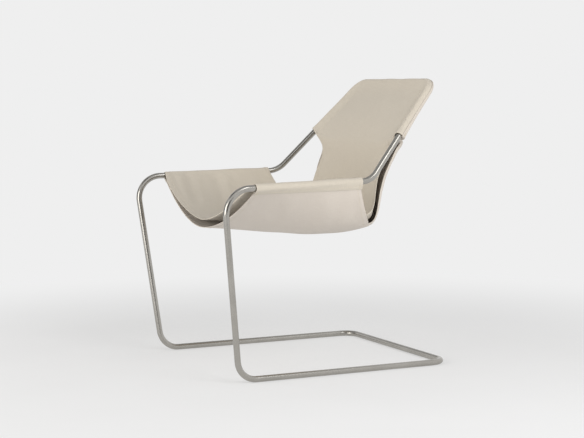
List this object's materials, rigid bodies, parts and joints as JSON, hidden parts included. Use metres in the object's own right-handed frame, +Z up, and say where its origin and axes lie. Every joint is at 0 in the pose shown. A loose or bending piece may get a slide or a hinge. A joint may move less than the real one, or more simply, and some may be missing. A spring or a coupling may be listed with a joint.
{
  "type": "sling lounge chair",
  "caption": "Low cantilever lounge chair: one round steel bar bent into a closed loop carries a sewn canvas sling as seat, arm sleeves and back pocket.",
  "frame": {"origin": "on the floor, in the middle of the chair's width and depth", "axes": "+Z up; the sitter faces -Y; +X is the sitter's left, and the chair is the same on both sides of X = 0"},
  "size_m": [0.7274, 0.7555, 0.8605],
  "materials": {
    "steel_bar": "satin stainless, brushed along the bar",
    "canvas_front": "plain woven natural canvas, matt",
    "canvas_rear": "plain woven natural canvas, matt",
    "thread": "natural sewing thread, matt"
  },
  "bodies": {
    "root": {"frame_bar": "steel_bar", "butt_weld": "steel_bar", "seat_back_panel": "canvas_front", "underside_panel": "canvas_rear", "arm_seam_left": "thread", "arm_seam_right": "thread", "pocket_seam": "thread", "channel_seam": "thread", "mouth_stitch_upper": "thread", "mouth_stitch_lower": "thread", "notch_stitch_seat_left": "thread", "notch_stitch_seat_right": "thread", "notch_stitch_under_left": "thread", "notch_stitch_under_right": "thread", "arm_front_tack_left": "thread", "arm_front_tack_right": "thread", "arm_rear_tack_left": "thread", "arm_rear_tack_right": "thread", "pocket_tack_left": "thread", "pocket_tack_right": "thread"}
  },
  "joints": []
}
